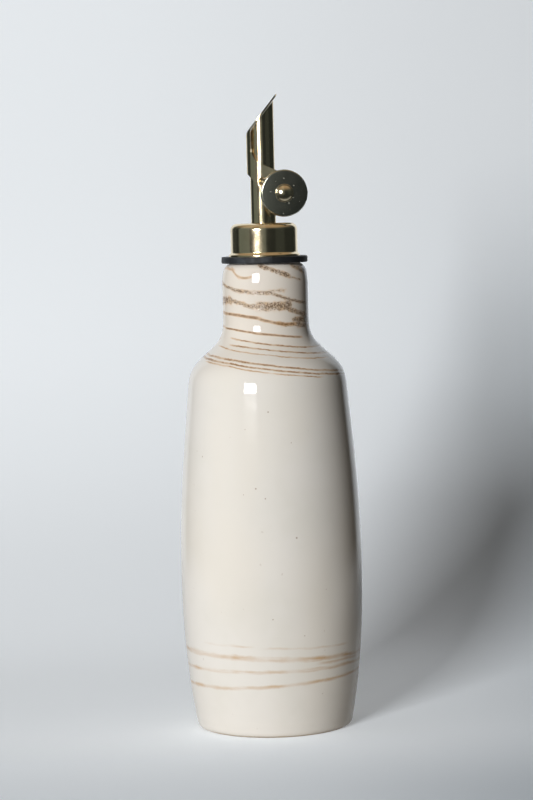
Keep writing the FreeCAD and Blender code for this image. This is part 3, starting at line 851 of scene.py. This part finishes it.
def make_stage_finish(name, is_card):
    """Pale and matt. Its glow stands for the light that comes down on a table; at the right it is
    painted dimmer, as shade.
    """
    paper = Finish(name, Roughness=0.9, Specular_IOR_Level=0.1, Emission_Strength=1.0)
    camera_ray = paper.ray("Camera")
    mirrored = paper.mirrored()
    seen = camera_ray.at_least(mirrored)
    reach = (paper.x * paper.x + paper.y * paper.y).root()
    close_by = 0.0 if is_card else reach.fall(*TABLE_REACH) * paper.y.rise(*TABLE_Y)
    solid = 1 - mirrored * (1 - close_by)

    near = 0.0 if is_card else reach.fall(*BOUNCE_REACH) * paper.ray("Diffuse")
    bounce = paper.mix(CARD_BOUNCE, TABLE_BOUNCE, near)
    colour = paper.mix(STAGE, tuple(c * FIBRE_SHADE for c in STAGE), paper.noise(900, 3, 0.6))
    # painted shade: the table and card darken at the bottle's right, low down, round its shadow
    shaded = paper.x.rise(*SHADE_BEGINS_X) * paper.x.fall(*SHADE_ENDS_X) * paper.z.fall(*SHADE_Z)
    colour = paper.mix(colour, STAGE_SHADED, shaded)
    if not is_card:
        # painted shade: the table darkens in front of the bottle, more so towards the right
        front = paper.y.fall(*FRONT_Y) * (paper.x.rise(*FRONT_X) * 0.5 + 0.4)
        colour = paper.mix(colour, STAGE_PAINTED_FRONT_SHADE, front)
    colour = paper.mix(bounce, colour, seen)
    # painted shade in the glow: it dims over a stretch at the right
    lit = paper.x.fall(*GLOW_DIMS_X).at_least(paper.x.rise(*SHADE_ENDS_X))
    glow = paper.mix((0, 0, 0), GLOW, seen * (lit * (1 - LEAST_GLOW) + LEAST_GLOW))

    if is_card:
        behind = Value(paper, paper.add("ShaderNodeNewGeometry").outputs["Backfacing"])
        kept = paper.x.fall(CARD_RIGHT - CARD_FADE, CARD_RIGHT)
        kept = kept * paper.x.rise(CARD_LEFT, CARD_LEFT + CARD_FADE)
        kept = kept * paper.z.fall(CARD_TOP - TOP_FADE, CARD_TOP)
        kept = kept * (1 - behind) * (1 - paper.ray("Shadow")) * solid
        return paper.surface(Base_Color=colour, Emission_Color=glow, Alpha=kept)

    distant = reach.rise(*FAR_REACH).at_least(paper.y.rise(*FAR_Y)) * camera_ray
    far_glow = paper.mix(PALE_NEARBY, PALE, reach.rise(*PALE_REACH))
    colour = paper.mix(colour, (0, 0, 0), distant)
    glow = paper.mix(glow, far_glow, distant)
    return paper.surface(Base_Color=colour, Emission_Color=glow, Alpha=solid)


def sheet_from(name, rows, material):
    """A smooth sheet from rows of points, with one material."""
    width = len(rows[0])
    mesh = bpy.data.meshes.new(name)
    faces = [(r * width + c, r * width + c + 1, (r + 1) * width + c + 1, (r + 1) * width + c)
             for r in range(len(rows) - 1) for c in range(width - 1)]
    mesh.from_pydata([point for row in rows for point in row], [], faces)
    mesh.polygons.foreach_set("use_smooth", [True] * len(faces))
    mesh.materials.append(material)
    sheet = bpy.data.objects.new(name, mesh)
    bpy.context.scene.collection.objects.link(sheet)
    return sheet


floor_rows = [[(x, y, 0) for x in (-FLOOR_REACH, FLOOR_REACH)] for y in (-FLOOR_REACH, FLOOR_REACH)]
sheet_from("floor", floor_rows, make_stage_finish("pale_floor", False))
card_rows = [[(x, y, z) for x in (CARD_LEFT, 0, CARD_RIGHT)] for y, z in CARD_PROFILE]
card = sheet_from("card", card_rows, make_stage_finish("pale_card", True))
bend = card.modifiers.new("bend", "SUBSURF")
bend.levels = bend.render_levels = 3

# %% [markdown]
# ## Light
#
# A softbox stands at the left of the camera, a little above the bottle. Its straight edges show in
# the glaze, as bright windows on the neck and the shoulder. Its power is set from its distance, so
# that a white card facing it would render white. Two weaker lights, one behind the bottle and one
# at its left, lift the sides that the softbox misses. They cast no shadow and are never mirrored.
#
# The world is a dim room, and the brass shows it as bands: a lighter wall on the left, something
# grey behind the camera, a warm ceiling, and behind the bottle the same pale as the table's far
# end. A camera that looks past the table sees that pale all round.

# %% Lamps
AIM = Vector((0, 0, 0.12))
KEY = {"azimuth": -25, "elevation": 13, "distance": 1.8, "size": (0.52, 0.40), "level": 0.99}
BACK_FILL = {"azimuth": 180, "elevation": 22, "distance": 2.0, "size": (0.8, 0.8), "level": 0.42}
LEFT_FILL = {"azimuth": -100, "elevation": 15, "distance": 1.8, "size": (0.6, 0.8), "level": 0.20}


def direction(azimuth_deg, elevation_deg):
    """Unit vector. Azimuth 0 is the front, where the camera is, and 90 is the right."""
    turn, lift = math.radians(azimuth_deg), math.radians(elevation_deg)
    return Vector((math.sin(turn) * math.cos(lift), -math.cos(turn) * math.cos(lift), math.sin(lift)))


def softbox(name, azimuth, elevation, distance, size, level):
    """A flat lamp aimed at the bottle. At level 1, a white surface facing it renders white."""
    lamp = bpy.data.lights.new(name, "AREA")
    lamp.shape = "RECTANGLE"
    lamp.size, lamp.size_y = size
    lamp.energy = math.pi ** 2 * distance ** 2 * level
    box = bpy.data.objects.new(name, lamp)
    bpy.context.scene.collection.objects.link(box)
    towards = direction(azimuth, elevation)
    box.location = AIM + towards * distance
    box.rotation_euler = towards.to_track_quat("Z", "Y").to_euler()
    box.visible_camera = False
    print(name, "gives", round(lamp.energy, 1), "W from", distance, "m")
    return box


softbox("key_softbox", **KEY)
for fill in (softbox("back_fill", **BACK_FILL), softbox("left_fill", **LEFT_FILL)):
    fill.visible_glossy = False
    fill.data.use_shadow = False

# %% World
ROOM = 0.025                        # how bright the room is at eye level
ROOM_OVERHEAD = 0.06                # how much brighter it is overhead
# what stands round the table: (from degrees, to degrees, how bright), azimuth 0 is the camera
ROOM_SHAPES = [(-92, -50, 0.13), (-96, -91, 0.12), (-22, 7, 0.10), (-150, -110, 0.02), (40, 75, 0.02)]
SHAPE_BLUR = 3                      # degrees
ROOM_SEEN = (0.83, 1.0, 0.96)       # the tint of the room where it is mirrored
ROOM_CAST = (0.50, 0.46, 0.43)      # the tint of the light that it casts
CEILING = (0.28, 0.185, 0.10)
# heights of a direction, from -1 straight down to 1 straight up
OVERHEAD, SHAPE_FOOT, CEILING_EDGE = (0.0, 0.9), (-0.35, -0.10), (0.35, 0.85)
BEHIND_BOTTLE = (133, 147)          # degrees round from the camera, to either side

world = bpy.data.worlds.new("room")
world.use_nodes = True
bpy.context.scene.world = world


class RoomLight(Finish):
    """The world's shader, with the same node methods as a finish."""

    def __init__(self):
        self.tree = world.node_tree
        self.tree.nodes.clear()
        place = self.add("ShaderNodeTexCoord")
        self.place = place.outputs["Generated"]
        axes = self.add("ShaderNodeSeparateXYZ", {}, self.place)
        self.x, self.y, self.z = (Value(self, axes.outputs[i]) for i in range(3))


room = RoomLight()
mirrored = room.mirrored()
cast = 1 - mirrored
azimuth = room.x.math("ARCTAN2", room.x, room.y * -1) * math.degrees(1)
dim = room.z.rise(*OVERHEAD) * ROOM_OVERHEAD + ROOM
for start_deg, end_deg, bright in ROOM_SHAPES:
    inside = azimuth.rise(start_deg - SHAPE_BLUR, start_deg + SHAPE_BLUR)
    inside = inside * azimuth.fall(end_deg - SHAPE_BLUR, end_deg + SHAPE_BLUR)
    dim = dim + inside * room.z.rise(*SHAPE_FOOT) * bright
above = mirrored * room.z.rise(*CEILING_EDGE)
channels = [dim * (seen - cast * (seen - thrown)) + above * ceiling
            for seen, thrown, ceiling in zip(ROOM_SEEN, ROOM_CAST, CEILING)]
tinted = room.add("ShaderNodeCombineColor", {}, *channels)
pale_part = (mirrored * azimuth.size().rise(*BEHIND_BOTTLE)).at_least(room.ray("Camera"))
shown = room.mix(tinted.outputs[0], PALE, pale_part)
background = room.add("ShaderNodeBackground", {}, shown, 1.0)
room.add("ShaderNodeOutputWorld", {}, background.outputs[0])
bpy.context.scene.view_settings.view_transform = "Standard"
